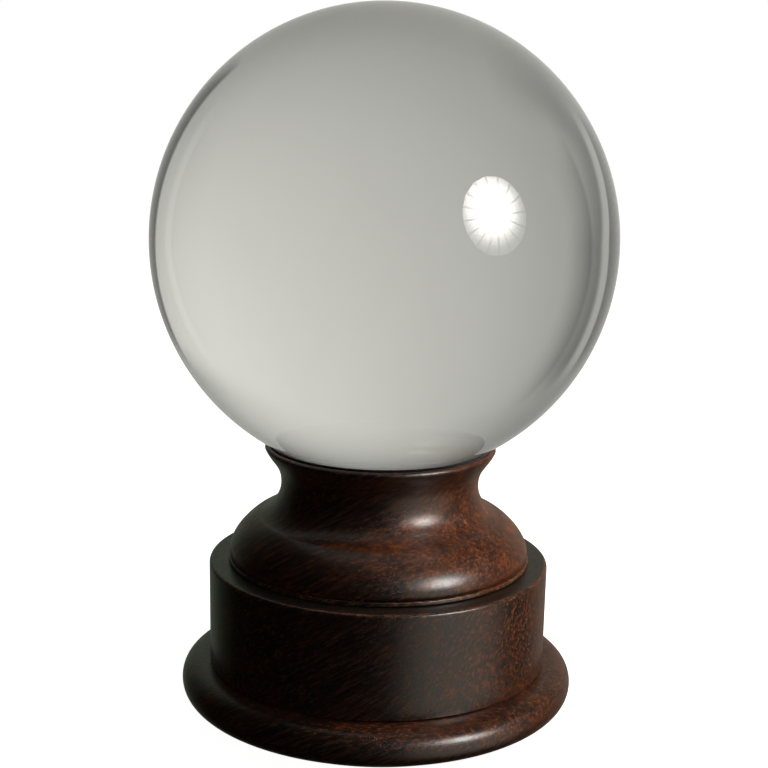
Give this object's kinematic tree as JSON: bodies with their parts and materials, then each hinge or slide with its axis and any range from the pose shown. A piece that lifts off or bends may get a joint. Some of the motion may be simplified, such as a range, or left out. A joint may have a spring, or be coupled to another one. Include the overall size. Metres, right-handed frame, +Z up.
{
  "type": "crystal ball on stand",
  "caption": "Clear solid ball resting in the felt-lined dish of a dark turned wooden stand with a hollow neck, full bell, plain drum and round-edged plinth.",
  "frame": {"origin": "on the stand's axis, on the surface that the base felt rests on", "axes": "+Z up along the axis of the stand and the ball; the two dowels lie on X"},
  "size_m": [0.15, 0.15, 0.2303],
  "materials": {
    "clear_crystal": "polished, clear, faintly grey",
    "black_felt": "short matt felt",
    "stained_wood": "dark red-brown stain under satin polish",
    "base_baize": "matt baize",
    "zinc_steel": "bright zinc",
    "brass": "machined",
    "beech": "bare wood"
  },
  "bodies": {
    "stand": {"turned_cup": "stained_wood", "drum": "stained_wood", "plinth": "stained_wood", "base_felt": "base_baize", "seat_lining": "black_felt", "centre_bolt": "zinc_steel", "bolt_washer": "zinc_steel", "threaded_insert": "brass", "locating_dowel_1": "beech", "locating_dowel_2": "beech", "plinth_screw_1": "zinc_steel", "plinth_screw_2": "zinc_steel", "plinth_screw_3": "zinc_steel", "plinth_screw_4": "zinc_steel"},
    "ball": {"crystal_ball": "clear_crystal"}
  },
  "joints": [
    {"name": "ball_lift", "type": "slide", "parent": "stand", "child": "ball", "axis": [0, 0, 1], "range_m": [0, 0.06]}
  ]
}
